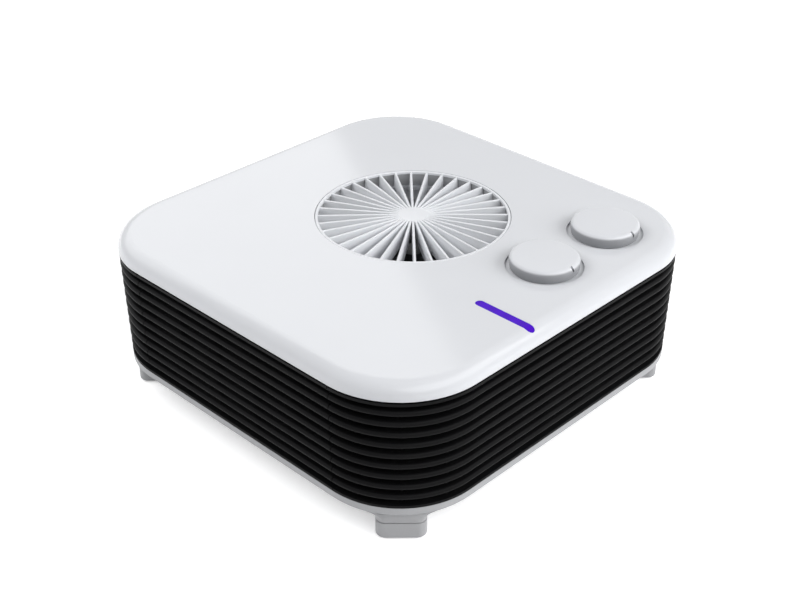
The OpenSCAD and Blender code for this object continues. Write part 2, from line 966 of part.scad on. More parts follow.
// Mica frame: two rings with upright cards between them, bored for the coils
module element_frame() {
    card_w = frame_out_r - frame_in_r - 2;
    color("tan")
        at_fan(z_deck)
            difference() {
                union() {
                    for (z = [0, frame_h - mica_t])
                        translate([0, 0, z])
                            difference() {
                                cylinder(r = frame_out_r, h = mica_t);
                                translate([0, 0, -eps])
                                    cylinder(r = frame_in_r, h = mica_t + 2 * eps);
                            }
                    for (i = [0 : card_count - 1])
                        rotate([0, 0, i * 360 / card_count])
                            translate([frame_in_r + 1, -mica_t / 2, mica_t / 2])
                                cube([card_w, mica_t, frame_h - mica_t]);
                }
                for (i = [0 : card_count - 1], row = [1 : coil_rows], r = [coil_in_r, coil_out_r])
                    rotate([0, 0, i * 360 / card_count])
                        translate([r, 2, mica_t + row * coil_pitch])
                            rotate([90, 0, 0])
                                cylinder(r = coil_r + 0.15, h = 4);
            }
}

// Turns of wound resistance wire, each drawn as a ring of the coil's outside size
module heating_coil(r) {
    open_angle = 8;
    color("gray")
        for (row = [1 : coil_rows])
            at_fan(z_deck + mica_t + row * coil_pitch)
                rotate([0, 0, 360 / card_count / 2 + 90])
                    rotate_extrude(angle = 360 - open_angle)
                        translate([r, 0])
                            circle(coil_r);
}

module heating_coil_low() heating_coil(coil_in_r);
module heating_coil_high() heating_coil(coil_out_r);

// Bimetal disc cut-out riveted to a tab of the deck
module thermal_cutout() {
    plate_l = 22;
    color("black")
        at_fan(z_deck)
            translate([-cutout_at, 0, 0]) {
                rounded_plate(10, plate_l, 0.8, 2);
                cylinder(r = 8, h = 9);
                for (y = [-4.5, 4.5])
                    translate([-0.4, y - 2.4, 8.5])
                        cube([0.8, 4.8, 8]);
            }
}

// One-shot fuse lying on the upper mica ring
module thermal_fuse() {
    lead_l = 26;
    color("sienna")
        at_fan(z_deck + frame_h + fuse_r)
            rotate([0, 0, 200])
                translate([(frame_in_r + frame_out_r) / 2, 0, 0])
                    rotate([90, 0, 0]) {
                        cylinder(r = fuse_r, h = 11, center = true);
                        cylinder(r = 0.6, h = lead_l, center = true);
                    }
}

// A curved fan blade, seen from above
module blade_outline() {
    arc_r = 22;
    eye_r = 31;
    intersection() {
        translate([eye_r - 3, arc_r])
            difference() {
                circle(arc_r);
                circle(arc_r - blade_t);
            }
        difference() {
            circle(wheel_r - 0.6);
            circle(eye_r);
        }
        translate([eye_r - 3, -1])
            square([wheel_r, arc_r]);
    }
}

// Centrifugal fan wheel: back plate with a hub, curved blades, and a ring over their tips
module fan_wheel() {
    plate_t = 1.6;
    hub_r = 7;
    color("darkslategray")
        at_fan(z_wheel)
            difference() {
                union() {
                    cylinder(r = wheel_r, h = plate_t);
                    cylinder(r = hub_r, h = wheel_h - 6);
                    translate([0, 0, plate_t / 2])
                        cylinder(r1 = 20, r2 = hub_r, h = 9);
                    translate([0, 0, plate_t - 0.2])
                        linear_extrude(wheel_h - 2 * plate_t + 0.4)
                            for (i = [0 : blade_count - 1])
                                rotate(i * 360 / blade_count)
                                    blade_outline();
                    translate([0, 0, wheel_h - plate_t])
                        difference() {
                            cylinder(r = wheel_r, h = plate_t);
                            translate([0, 0, -eps])
                                cylinder(r = throat_r + inlet_t + 1, h = plate_t + 2 * eps);
                        }
                }
                translate([0, 0, -eps])
                    cylinder(r = shaft_r, h = wheel_h - 8 + eps);
            }
}

module motor_shaft() {
    base_z = z_stack - bracket_gap + 0.4;
    color("silver")
        at_fan(base_z)
            cylinder(r = shaft_r, h = z_wheel + wheel_h - 8.4 - base_z);
}

module motor_rotor() {
    color("gray")
        at_fan(z_stack)
            difference() {
                cylinder(r = bore_r - rotor_gap, h = stack_h);
                translate([0, 0, -eps])
                    cylinder(r = shaft_r, h = stack_h + 2 * eps);
            }
}

// The four long bolts' places round the motor
module motor_fixings(z) {
    for (x = [-1, 1], y = [-1, 1])
        at_fan(z)
            translate([x * bolt_at, y * bolt_at, 0])
                children();
}

// Shaded-pole stack with a window at each side for its windings
module motor_stator() {
    window = 6.4;
    color("dimgray")
        difference() {
            at_fan(z_stack)
                rounded_plate(stack_w, stack_w, stack_h, 4);
            at_fan(z_stack - eps)
                cylinder(r = bore_r, h = stack_h + 2 * eps);
            for (x = [-1, 1])
                at_fan(z_stack - eps)
                    translate([x * (stack_w / 2 - limb - window / 2) - window / 2, -window_l / 2, 0])
                        cube([window, window_l, stack_h + 2 * eps]);
            motor_fixings(z_stack - eps)
                cylinder(r = bolt_r + 0.1, h = stack_h + 2 * eps);
        }
}

// One wound coil round each outer limb of the stack
module motor_windings() {
    build_up = 4.6;
    color("peru")
        for (side = [0, 180])
            at_fan(z_stack + stack_h / 2)
                rotate([0, 0, side])
                    translate([stack_w / 2 - limb / 2, winding_l / 2, 0])
                        rotate([90, 0, 0])
                            difference() {
                                rounded_plate(limb + 2 * build_up, stack_h + 2 * build_up, winding_l, 2.5);
                                translate([0, 0, -eps])
                                    linear_extrude(winding_l + 2 * eps)
                                        square([limb + 0.4, stack_h + 0.4], center = true);
                            }
}

// Bridge over the motor that holds a bearing, with its plate uppermost
module motor_bracket() {
    plate_t = 2;
    arm_r = 5;
    difference() {
        union() {
            translate([0, 0, bracket_gap - plate_t])
                linear_extrude(plate_t)
                    for (a = [45 : 90 : 315])
                        rotate(a) {
                            translate([0, -arm_r])
                                square([sqrt(2) * bolt_at, 2 * arm_r]);
                            translate([sqrt(2) * bolt_at, 0])
                                circle(arm_r);
                        }
            for (x = [-1, 1], y = [-1, 1])
                translate([x * bolt_at, y * bolt_at, 0])
                    cylinder(r = 4, h = bracket_gap - plate_t / 2);
            translate([0, 0, bracket_gap - bearing_h - 0.5])
                cylinder(r = pot_r, h = bearing_h + 0.5);
        }
        translate([0, 0, bracket_gap - bearing_h])
            cylinder(r = bearing_r, h = bearing_h + eps);
        cylinder(r = shaft_r + 1, h = bracket_gap);
        for (x = [-1, 1], y = [-1, 1])
            translate([x * bolt_at, y * bolt_at, -eps])
                cylinder(r = bolt_r + 0.1, h = bracket_gap + 2 * eps);
    }
}

module motor_bracket_upper() {
    color("lightsteelblue")
        at_fan(z_stack + stack_h) motor_bracket();
}

module motor_bracket_lower() {
    color("lightsteelblue")
        at_fan(z_stack) mirror([0, 0, 1]) motor_bracket();
}

// Sintered bush
module bearing(z) {
    color("darkgoldenrod")
        at_fan(z)
            difference() {
                cylinder(r = bearing_r, h = bearing_h);
                translate([0, 0, -eps])
                    cylinder(r = shaft_r + running_fit, h = bearing_h + 2 * eps);
            }
}

module bearing_upper() bearing(z_stack + stack_h + bracket_gap - bearing_h);
module bearing_lower() bearing(z_stack - bracket_gap);

module motor_bolts() {
    color("silver")
        motor_fixings(z_bolt_head)
            screw_up(bolt_r, stack_h + 2 * bracket_gap + deck_t + 1, bolt_head_h);
}

top_cover();
intake_grille();
inlet_ring();
inlet_screws();
front_louvre_panel();
rear_louvre_panel();
left_louvre_panel();
right_louvre_panel();
base_tray();
housing_screws();
cord_gland();
terminal_block();
foot_front_left();
foot_front_right();
foot_rear_left();
foot_rear_right();
pad_front_left();
pad_front_right();
pad_rear_left();
pad_rear_right();
control_bracket();
bracket_screws();
bushing_nuts();
mode_switch();
mode_switch_shaft();
mode_knob();
thermostat();
thermostat_shaft();
thermostat_knob();
led_light_bar();
led_board();
deck_plate();
deck_screws();
element_frame();
heating_coil_low();
heating_coil_high();
thermal_cutout();
thermal_fuse();
fan_wheel();
motor_shaft();
motor_rotor();
motor_stator();
motor_windings();
motor_bracket_upper();
motor_bracket_lower();
bearing_upper();
bearing_lower();
motor_bolts();
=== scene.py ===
# Fan heater: materials, fine pieces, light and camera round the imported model
import bpy
import bmesh
import json
import math
from mathutils import Matrix, Vector


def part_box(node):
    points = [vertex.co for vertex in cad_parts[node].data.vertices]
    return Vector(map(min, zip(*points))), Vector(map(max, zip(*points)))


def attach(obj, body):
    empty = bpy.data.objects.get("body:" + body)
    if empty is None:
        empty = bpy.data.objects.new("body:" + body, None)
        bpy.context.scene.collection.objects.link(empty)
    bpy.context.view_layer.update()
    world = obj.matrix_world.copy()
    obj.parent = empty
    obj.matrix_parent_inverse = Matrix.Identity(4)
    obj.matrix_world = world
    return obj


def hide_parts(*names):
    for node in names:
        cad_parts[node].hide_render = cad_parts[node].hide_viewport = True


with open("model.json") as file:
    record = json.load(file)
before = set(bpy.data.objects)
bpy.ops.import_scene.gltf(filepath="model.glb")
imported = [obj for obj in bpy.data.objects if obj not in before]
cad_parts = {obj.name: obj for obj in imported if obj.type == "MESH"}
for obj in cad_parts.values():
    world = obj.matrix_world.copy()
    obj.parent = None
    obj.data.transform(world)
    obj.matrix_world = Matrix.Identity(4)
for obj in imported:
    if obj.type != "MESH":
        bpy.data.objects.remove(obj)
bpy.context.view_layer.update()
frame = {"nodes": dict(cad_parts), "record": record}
nodes = frame["nodes"]
print("loaded", len(nodes), "nodes")


# Shader node groups, with noise scales in waves to the metre

skinNoise = dict(grainDetail=3.0, patchScale=22.0, patchDetail=3.0)
driftNoise = dict(detail=4.0, fullSwing=2.0)
lineNoise = dict(stretch=(60.0, 2200.0, 2200.0), scale=1.0, detail=2.0)


def newGroup(name, inputs, outputs):
    tree = bpy.data.node_groups.new(name, "ShaderNodeTree")
    for label, kind, value in inputs:
        socket = tree.interface.new_socket(label, in_out="INPUT", socket_type=kind)
        socket.default_value = value
    for label, kind in outputs:
        tree.interface.new_socket(label, in_out="OUTPUT", socket_type=kind)
    return tree, tree.nodes.new("NodeGroupInput"), tree.nodes.new("NodeGroupOutput")


def connect(tree, value, socket):
    if isinstance(value, (int, float, tuple)):
        socket.default_value = value
    else:
        tree.links.new(value, socket)


def mathNode(tree, operation, first, second=0.0, clamp=False):
    node = tree.nodes.new("ShaderNodeMath")
    node.operation = operation
    node.use_clamp = clamp
    connect(tree, first, node.inputs[0])
    connect(tree, second, node.inputs[1])
    return node.outputs[0]


def noiseNode(tree, coordinates, scale, detail):
    node = tree.nodes.new("ShaderNodeTexNoise")
    node.inputs["Detail"].default_value = detail
    tree.links.new(coordinates, node.inputs["Vector"])
    connect(tree, scale, node.inputs["Scale"])
    return node.outputs["Fac"]


def centred(tree, noise):
    # Noise swings round a half, and comes out of here swinging round zero
    return mathNode(tree, "SUBTRACT", noise, 0.5)


def mixColour(tree, share, first, second):
    node = tree.nodes.new("ShaderNodeMix")
    node.data_type = "RGBA"
    connect(tree, share, node.inputs["Factor"])
    connect(tree, first, node.inputs[6])  # the node's colour A
    connect(tree, second, node.inputs[7])  # the node's colour B
    return node.outputs[2]  # the mixed colour


def placeOf(tree):
    return tree.nodes.new("ShaderNodeTexCoord").outputs["Object"]


def placeAlong(tree, axis):
    parts = tree.nodes.new("ShaderNodeSeparateXYZ")
    tree.links.new(placeOf(tree), parts.inputs[0])
    return parts.outputs[axis]


def mouldedSkinGroup(look):
    # Broad drift of the gloss, and a fine grain that stands up from the surface
    tree, source, sink = newGroup(
        "mouldedSkin",
        [("Grain Size", "NodeSocketFloat", 0.0006), ("Gloss", "NodeSocketFloat", 0.3),
         ("Gloss Drift", "NodeSocketFloat", 0.06)],
        [("Roughness", "NodeSocketFloat"), ("Height", "NodeSocketFloat")])
    place = placeOf(tree)
    grainScale = mathNode(tree, "DIVIDE", 1.0, source.outputs["Grain Size"])
    grain = noiseNode(tree, place, grainScale, look["grainDetail"])
    patches = centred(tree, noiseNode(tree, place, look["patchScale"], look["patchDetail"]))
    spread = mathNode(tree, "MULTIPLY", patches, source.outputs["Gloss Drift"])
    gloss = mathNode(tree, "ADD", source.outputs["Gloss"], spread, True)
    tree.links.new(gloss, sink.inputs["Roughness"])
    tree.links.new(grain, sink.inputs["Height"])
    return tree


def tintDriftGroup(look):
    # Slow, faint drift of a colour, lighter and darker by the same share
    tree, source, sink = newGroup(
        "tintDrift",
        [("Tint", "NodeSocketColor", (0.8, 0.8, 0.8, 1.0)), ("Drift", "NodeSocketFloat", 0.03),
         ("Patch Size", "NodeSocketFloat", 0.05)],
        [("Color", "NodeSocketColor")])
    patchScale = mathNode(tree, "DIVIDE", 1.0, source.outputs["Patch Size"])
    patches = centred(tree, noiseNode(tree, placeOf(tree), patchScale, look["detail"]))
    swing = mathNode(tree, "MULTIPLY", patches, source.outputs["Drift"])
    share = mathNode(tree, "ADD", 1.0, mathNode(tree, "MULTIPLY", swing, look["fullSwing"]))
    scaled = tree.nodes.new("ShaderNodeVectorMath")
    scaled.operation = "SCALE"
    tree.links.new(source.outputs["Tint"], scaled.inputs[0])
    tree.links.new(share, scaled.inputs["Scale"])
    tree.links.new(scaled.outputs[0], sink.inputs["Color"])
    return tree


def brushedLinesGroup(look):
    # Fine lines drawn along X, as rolling or grinding leaves them
    tree, source, sink = newGroup(
        "brushedLines",
        [("Gloss", "NodeSocketFloat", 0.35), ("Line Depth", "NodeSocketFloat", 0.12)],
        [("Roughness", "NodeSocketFloat"), ("Height", "NodeSocketFloat")])
    stretch = tree.nodes.new("ShaderNodeMapping")
    stretch.inputs["Scale"].default_value = look["stretch"]
    tree.links.new(placeOf(tree), stretch.inputs["Vector"])
    lines = noiseNode(tree, stretch.outputs[0], look["scale"], look["detail"])
    spread = mathNode(tree, "MULTIPLY", centred(tree, lines), source.outputs["Line Depth"])
    gloss = mathNode(tree, "ADD", source.outputs["Gloss"], spread, True)
    tree.links.new(gloss, sink.inputs["Roughness"])
    tree.links.new(lines, sink.inputs["Height"])
    return tree


mouldedSkin = mouldedSkinGroup(skinNoise)
tintDrift = tintDriftGroup(driftNoise)
brushedLines = brushedLinesGroup(lineNoise)
print("node groups made")


# Materials

def newMaterial(name):
    material = bpy.data.materials.new(name)
    material.use_nodes = True
    return material, material.node_tree, material.node_tree.nodes["Principled BSDF"]


def placeGroup(tree, group, values):
    node = tree.nodes.new("ShaderNodeGroup")
    node.node_tree = group
    for label, value in values.items():
        node.inputs[label].default_value = value
    return node


def raiseSurface(tree, shader, height, distance):
    bump = tree.nodes.new("ShaderNodeBump")
    bump.inputs["Distance"].default_value = distance
    tree.links.new(height, bump.inputs["Height"])
    tree.links.new(bump.outputs[0], shader.inputs["Normal"])


def plastic(name, look):
    material, tree, shader = newMaterial(name)
    tint = placeGroup(tree, tintDrift, {"Tint": (*look["colour"], 1.0), "Drift": look["tintDrift"]})
    colour = tint.outputs["Color"]
    if "paintedShadeColour" in look:
        # Painted shade: below the cap's rounded edge the knob's side is coloured darker for the shade
        # that falls on it, told apart by height alone
        above = mathNode(tree, "SUBTRACT", placeAlong(tree, "Z"), look["paintedShadeTop"])
        capShare = mathNode(tree, "DIVIDE", above, look["paintedShadeBlend"], True)
        colour = mixColour(tree, capShare, (*look["paintedShadeColour"], 1.0), colour)
    skin = placeGroup(tree, mouldedSkin, {
        "Grain Size": look["grainSize"], "Gloss": look["roughness"], "Gloss Drift": look["glossDrift"]})
    tree.links.new(colour, shader.inputs["Base Color"])
    tree.links.new(skin.outputs["Roughness"], shader.inputs["Roughness"])
    raiseSurface(tree, shader, skin.outputs["Height"], look["grainHeight"])
    if "specular" in look:
        shader.inputs["Specular IOR Level"].default_value = look["specular"]
    return material


def metal(name, look):
    material, tree, shader = newMaterial(name)
    tint = placeGroup(tree, tintDrift, {
        "Tint": (*look["colour"], 1.0), "Drift": look["tintDrift"], "Patch Size": metalPatchSize})
    lines = placeGroup(tree, brushedLines, {
        "Gloss": look["roughness"], "Line Depth": look["lineDepth"]})
    tree.links.new(tint.outputs["Color"], shader.inputs["Base Color"])
    tree.links.new(lines.outputs["Roughness"], shader.inputs["Roughness"])
    raiseSurface(tree, shader, lines.outputs["Height"], look["lineHeight"])
    shader.inputs["Metallic"].default_value = 1.0
    return material


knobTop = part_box("mode_knob")[1][2]
capDepth = 0.0020  # from the knob's top down to where its painted shade starts
metalPatchSize = 0.012
plastics = {
    "cover_white": dict(colour=(0.615, 0.627, 0.655), roughness=0.09, glossDrift=0.03, tintDrift=0.012,
                        grainSize=0.0016, grainHeight=0.000003),
    "knob_white": dict(colour=(0.615, 0.627, 0.655), roughness=0.26, glossDrift=0.04, tintDrift=0.012,
                       grainSize=0.0009, grainHeight=0.000005,
                       # the darker colour for the knob's side below the rounded edge is painted shade
                       paintedShadeColour=(0.28, 0.286, 0.30), paintedShadeTop=knobTop - capDepth, paintedShadeBlend=0.0009),
    "grille_white": dict(colour=(0.67, 0.683, 0.71), roughness=0.3, glossDrift=0.05, tintDrift=0.02,
                         grainSize=0.0007, grainHeight=0.000006),
    "louvre_black": dict(colour=(0.0045, 0.0045, 0.0049), roughness=0.46, glossDrift=0.06, tintDrift=0.2,
                         grainSize=0.0005, grainHeight=0.00001, specular=0.07),
    "base_grey": dict(colour=(0.375, 0.38, 0.393), roughness=0.42, glossDrift=0.05, tintDrift=0.02,
                      grainSize=0.0006, grainHeight=0.000015),
    "foot_grey": dict(colour=(0.35, 0.353, 0.364), roughness=0.5, glossDrift=0.05, tintDrift=0.03,
                      grainSize=0.0006, grainHeight=0.00002),
    "duct_grey": dict(colour=(0.34, 0.345, 0.355), roughness=0.45, glossDrift=0.05, tintDrift=0.05,
                      grainSize=0.0006, grainHeight=0.00001),
    "pad_rubber": dict(colour=(0.02, 0.02, 0.021), roughness=0.75, glossDrift=0.1, tintDrift=0.3,
                       grainSize=0.0009, grainHeight=0.00003, specular=0.3),
    "board_green": dict(colour=(0.01, 0.09, 0.035), roughness=0.3, glossDrift=0.05, tintDrift=0.1,
                        grainSize=0.001, grainHeight=0.000004),
    "phenolic_brown": dict(colour=(0.035, 0.012, 0.007), roughness=0.38, glossDrift=0.08, tintDrift=0.3,
                           grainSize=0.0008, grainHeight=0.00001),
    "steatite": dict(colour=(0.70, 0.67, 0.58), roughness=0.6, glossDrift=0.08, tintDrift=0.06,
                     grainSize=0.0005, grainHeight=0.00003),
    "mica": dict(colour=(0.30, 0.23, 0.13), roughness=0.45, glossDrift=0.2, tintDrift=0.5,
                 grainSize=0.002, grainHeight=0.00003),
    "wheel_plastic": dict(colour=(0.02, 0.022, 0.024), roughness=0.4, glossDrift=0.08, tintDrift=0.2,
                          grainSize=0.0006, grainHeight=0.00001),
}
metals = {
    "sheet_steel": dict(colour=(0.55, 0.56, 0.57), roughness=0.35, tintDrift=0.06,
                        lineDepth=0.15, lineHeight=0.000003),
    "screw_steel": dict(colour=(0.52, 0.53, 0.55), roughness=0.3, tintDrift=0.08,
                        lineDepth=0.1, lineHeight=0.000002),
    "brass": dict(colour=(0.66, 0.45, 0.16), roughness=0.28, tintDrift=0.1,
                  lineDepth=0.1, lineHeight=0.000002),
    "bronze_bush": dict(colour=(0.40, 0.22, 0.09), roughness=0.5, tintDrift=0.2,
                        lineDepth=0.1, lineHeight=0.000004),
    "coil_wire": dict(colour=(0.24, 0.21, 0.19), roughness=0.45, tintDrift=0.4,
                      lineDepth=0.2, lineHeight=0.000004),
    "lamination_steel": dict(colour=(0.22, 0.22, 0.23), roughness=0.5, tintDrift=0.2,
                             lineDepth=0.25, lineHeight=0.00001),
    "copper_winding": dict(colour=(0.48, 0.16, 0.06), roughness=0.35, tintDrift=0.2,
                           lineDepth=0.25, lineHeight=0.00003),
    "die_cast": dict(colour=(0.50, 0.50, 0.51), roughness=0.55, tintDrift=0.08,
                     lineDepth=0.05, lineHeight=0.000004),
}

lightBar = dict(body=(0.012, 0.002, 0.08), glow=(0.058, 0.003, 0.45), strength=1.0, specular=0.06,
                lampPitch=0.010, lampBoost=0.35, dimShare=0.8, brightShare=1.25,
                grainSize=0.0008, roughness=0.25, glossDrift=0.04)


def violetLight(look):
    # Glows all along, and a little more over each lamp
    material, tree, shader = newMaterial("light_violet")
    along = mathNode(tree, "MULTIPLY", placeAlong(tree, "Y"), 2 * math.pi / look["lampPitch"])
    wave = mathNode(tree, "MULTIPLY", mathNode(tree, "COSINE", along), look["lampBoost"] / 2)
    boost = mathNode(tree, "ADD", wave, 0.5, True)  # swings round a half
    dim = (*[part * look["dimShare"] for part in look["glow"]], 1.0)
    bright = (*[part * look["brightShare"] for part in look["glow"]], 1.0)
    tree.links.new(mixColour(tree, boost, dim, bright), shader.inputs["Emission Color"])
    skin = placeGroup(tree, mouldedSkin, {
        "Grain Size": look["grainSize"], "Gloss": look["roughness"], "Gloss Drift": look["glossDrift"]})
    tree.links.new(skin.outputs["Roughness"], shader.inputs["Roughness"])
    shader.inputs["Emission Strength"].default_value = look["strength"]
    shader.inputs["Base Color"].default_value = (*look["body"], 1.0)
    shader.inputs["Specular IOR Level"].default_value = look["specular"]
    return material


finishes = {name: plastic(name, look) for name, look in plastics.items()}
finishes.update({name: metal(name, look) for name, look in metals.items()})
finishes["light_violet"] = violetLight(lightBar)

for subpart in frame["record"]["subparts"]:
    for slot in nodes[subpart["node"]].material_slots:
        slot.material = finishes[subpart["material_slot"]]
# The inlet ring shows between the fins, in the same grey as the sleeve above it
for slot in nodes["inlet_ring"].material_slots:
    slot.material = finishes["duct_grey"]
print("materials given to the packed nodes")


# Mesh helpers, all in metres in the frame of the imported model

sharpAngle = 35  # degrees from which an edge shows as a crease


def middleOf(node):
    low, high = (Vector(corner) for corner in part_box(node))
    return (low + high) / 2


def halfAcross(node):
    low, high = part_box(node)
    return (high[0] - low[0]) / 2


def heightsOf(node):
    return [corner[2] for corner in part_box(node)]


def roundPoint(centre, radius, turn, height):
    return (centre[0] + radius * math.cos(turn), centre[1] + radius * math.sin(turn), height)


def arcPoints(centre, reach, start, end, steps):
    # Points on an arc, or on part of an ellipse where reach is two lengths
    across, up = reach if isinstance(reach, tuple) else (reach, reach)
    turns = [math.radians(start + (end - start) * i / steps) for i in range(steps + 1)]
    return [(centre[0] + across * math.cos(turn), centre[1] + up * math.sin(turn)) for turn in turns]


def turnProfile(bm, centre, profile, segments):
    # Closed loop of (radius, height) points turned round an upright axis
    rings = []
    for radius, height in profile:
        count = segments if radius > 0 else 1
        rings.append([bm.verts.new(roundPoint(centre, radius, 2 * math.pi * i / count, height))
                      for i in range(count)])
    for low, high in zip(rings, rings[1:] + rings[:1]):
        for i in range(segments):
            j = (i + 1) % segments
            corners = (low[i % len(low)], low[j % len(low)], high[j % len(high)], high[i % len(high)])
            corners = list(dict.fromkeys(corners))
            if len(corners) > 2:
                bm.faces.new(corners)


def loftOutlines(bm, outlines):
    # Skin over closed outlines of as many points each, with both ends shut
    rings = [[bm.verts.new(point) for point in outline] for outline in outlines]
    for low, high in zip(rings, rings[1:]):
        for i in range(len(low)):
            j = (i + 1) % len(low)
            bm.faces.new((low[i], low[j], high[j], high[i]))
    bm.faces.new(list(reversed(rings[0])))
    bm.faces.new(rings[-1])


def meshFrom(name, bm):
    bmesh.ops.recalc_face_normals(bm, faces=bm.faces)
    mesh = bpy.data.meshes.new(name)
    bm.to_mesh(mesh)
    bm.free()
    return mesh


def addObject(name, data):
    thing = bpy.data.objects.new(name, data)
    bpy.context.scene.collection.objects.link(thing)
    return thing


def addPiece(name, data, body, slotName, *replaced, finish=None):
    piece = addObject(name, data)
    data.materials.append(finishes[finish or slotName])
    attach(piece, body)
    if replaced:
        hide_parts(*replaced)
    return piece


def meshPiece(name, bm, body, slotName, *replaced, finish=None):
    mesh = meshFrom(name, bm)
    mesh.shade_smooth()
    mesh.set_sharp_from_angle(angle=math.radians(sharpAngle))
    return addPiece(name, mesh, body, slotName, *replaced, finish=finish)


def cutBy(piece, name, bm):
    # Takes a closed shape out of a mesh piece
    cutter = addObject(name, meshFrom(name, bm))
    cut = piece.modifiers.new(name, "BOOLEAN")
    cut.operation = "DIFFERENCE"
    cut.solver = "EXACT"
    cut.object = cutter
    bpy.context.view_layer.update()
    result = bpy.data.meshes.new_from_object(piece.evaluated_get(bpy.context.evaluated_depsgraph_get()))
    piece.modifiers.clear()
    piece.data = result
    bpy.data.objects.remove(cutter)


# Intake grille: hub, thin lip, drafted fins with rounded tops, and a grey sleeve below the lip

grille = dict(
    fins=36, firstFin=0.5,  # the first fin's place, in fin pitches from the right
    topWidth=0.0014, footWidth=0.0019, crown=0.0005, crownSteps=8, dish=0.0004,
    lipWidth=0.0016, lipHeight=0.0016, lipBevel=0.0003, lipRound=0.0004, lipSteps=3,
    finBite=0.0003,  # how far each fin runs into the lip
    hubRadius=0.009, hubEdge=0.0012, hubSteps=5, hubSkin=0.0024,
    sleeveWall=0.0011, segments=144)


def buildGrille(look):
    centre, outer = middleOf("intake_grille"), halfAcross("intake_grille")
    low, top = heightsOf("intake_grille")
    inner = outer - look["lipWidth"]
    sleeveTop = top - look["lipHeight"]
    hub, edge = look["hubRadius"], look["hubEdge"]
    hubInner, hubRoof = hub - look["hubSkin"], top - look["hubSkin"]
    bevel, rounding = look["lipBevel"], look["lipRound"]
    bm = bmesh.new()
    turnProfile(bm, centre, [
        (0.0, top), *arcPoints((hub - edge, top - edge), edge, 90, 0, look["hubSteps"]),
        (hub, low), (hubInner, low), (hubInner, hubRoof), (0.0, hubRoof)], look["segments"])
    turnProfile(bm, centre, [
        (outer, top - bevel), (outer - bevel, top),
        *arcPoints((inner + rounding, top - rounding), rounding, 90, 180, look["lipSteps"]),
        (inner, sleeveTop), (outer, sleeveTop)], look["segments"])
    halfFoot, crown = look["footWidth"] / 2, look["crown"]
    section = [(-halfFoot, 0.0),
               *arcPoints((0.0, 0.0), (look["topWidth"] / 2, crown), 180, 0, look["crownSteps"]),
               (halfFoot, 0.0)]
    stations = [(hub - edge, top), ((hub + inner) / 2, top - look["dish"] / 2),
                (inner + look["finBite"], top - look["dish"])]
    for fin in range(look["fins"]):
        turn = 2 * math.pi * (fin + look["firstFin"]) / look["fins"]
        along = Vector((math.cos(turn), math.sin(turn), 0))
        across = Vector((-math.sin(turn), math.cos(turn), 0))
        outlines = []
        for reach, finTop in stations:
            start = Vector((centre[0], centre[1], 0)) + along * reach
            heights = [low, *[finTop - crown + rise for _, rise in section[1:-1]], low]
            outlines.append([start + across * side + Vector((0, 0, height))
                             for (side, _), height in zip(section, heights)])
        loftOutlines(bm, outlines)
    meshPiece("grilleFins", bm, "housing", "grille_white", "intake_grille")
    sleeveInner = outer - look["sleeveWall"]
    sleeve = bmesh.new()
    turnProfile(sleeve, centre, [
        (outer, low), (outer, sleeveTop), (sleeveInner, sleeveTop), (sleeveInner, low)],
        look["segments"])
    meshPiece("grilleSleeve", sleeve, "housing", "wheel_plastic", finish="duct_grey")


buildGrille(grille)
print("grille built")


# Knobs: hollow caps with a soft edge and a pointer notch, a little slimmer than their recess

knob = dict(inset=0.0008, edge=0.0026, edgeSteps=8, crown=0.0002, draft=0.0006,
            wall=0.0018, hubWall=0.003, boreGap=0.0001,
            notchWidth=0.0014, notchDepth=0.0022, notchDrop=0.0030, segments=120)


def buildKnob(name, node, shaft, body, look):
    centre = middleOf(node)
    low, top = heightsOf(node)
    radius = halfAcross(node) - look["inset"]
    edge, wall, draft = look["edge"], look["wall"], look["draft"]
    bore = halfAcross(shaft) + look["boreGap"]
    boreTop = heightsOf(shaft)[1] + look["boreGap"]
    hub = bore + look["hubWall"]
    shoulder = top - look["crown"] - edge
    bm = bmesh.new()
    turnProfile(bm, centre, [
        (0.0, top), *arcPoints((radius - edge, shoulder), edge, 90, 0, look["edgeSteps"]),
        (radius - draft, low), (radius - draft - wall, low), (radius - wall - edge / 2, shoulder),
        (hub, shoulder), (hub, low + wall), (bore, low + wall), (bore, boreTop), (0.0, boreTop)],
        look["segments"])
    piece = meshPiece(name, bm, body, "knob_white", node)
    left, right = centre[0] - look["notchWidth"] / 2, centre[0] + look["notchWidth"] / 2
    front, back = centre[1] - radius - edge, centre[1] - radius + look["notchDepth"]
    notch = bmesh.new()
    loftOutlines(notch, [[(left, front, z), (right, front, z), (right, back, z), (left, back, z)]
                         for z in (top - look["notchDrop"], top + edge)])
    cutBy(piece, name + "Notch", notch)


buildKnob("modeKnobCap", "mode_knob", "mode_switch_shaft", "mode_control", knob)
buildKnob("thermostatKnobCap", "thermostat_knob", "thermostat_shaft", "thermostat_control", knob)
print("knobs built")


# Feet: blocks set across the corners, each with a round toe, a seam, and a funnel up into the base

foot = dict(
    halfWidth=0.0130, edge=0.0052, cornerSteps=8, outward=0.0007,
    toe=0.0012, toeSteps=6, flare=0.0053, flareSteps=8,
    seamDrop=0.0064, seamHeight=0.0006, seamDepth=0.0005,
    baseStep=0.0016, baseCorner=0.075,  # the base's rim, and how far out its round corners start
    padGap=0.0002, shelf=0.008, shelfRadius=0.00354, boreRadius=0.0019,  # recess for pad and screw
    segments=48)


def footOutline(centre, grow, height, look, limit):
    # Rounded square turned by 45 degrees, and no wider anywhere than the base above it
    straight, baseCorner = look["halfWidth"] - look["edge"], look["baseCorner"]
    points = []
    for quarter in range(4):
        turn = Matrix.Rotation(math.radians(90 * quarter) + math.pi / 4, 2)
        for x, y in arcPoints((straight, straight), look["edge"] + grow, 0, 90, look["cornerSteps"]):
            side = Vector((x, y))
            side.rotate(turn)
            spot = [centre[0] + side.x, centre[1] + side.y]
            past = Vector([max(abs(value) - baseCorner, 0.0) for value in spot])
            if past.length > limit:
                past *= limit / past.length
                spot = [math.copysign(baseCorner + extra, value) if abs(value) > baseCorner else value
                        for value, extra in zip(spot, past)]
            points.append((*spot, height))
    return points


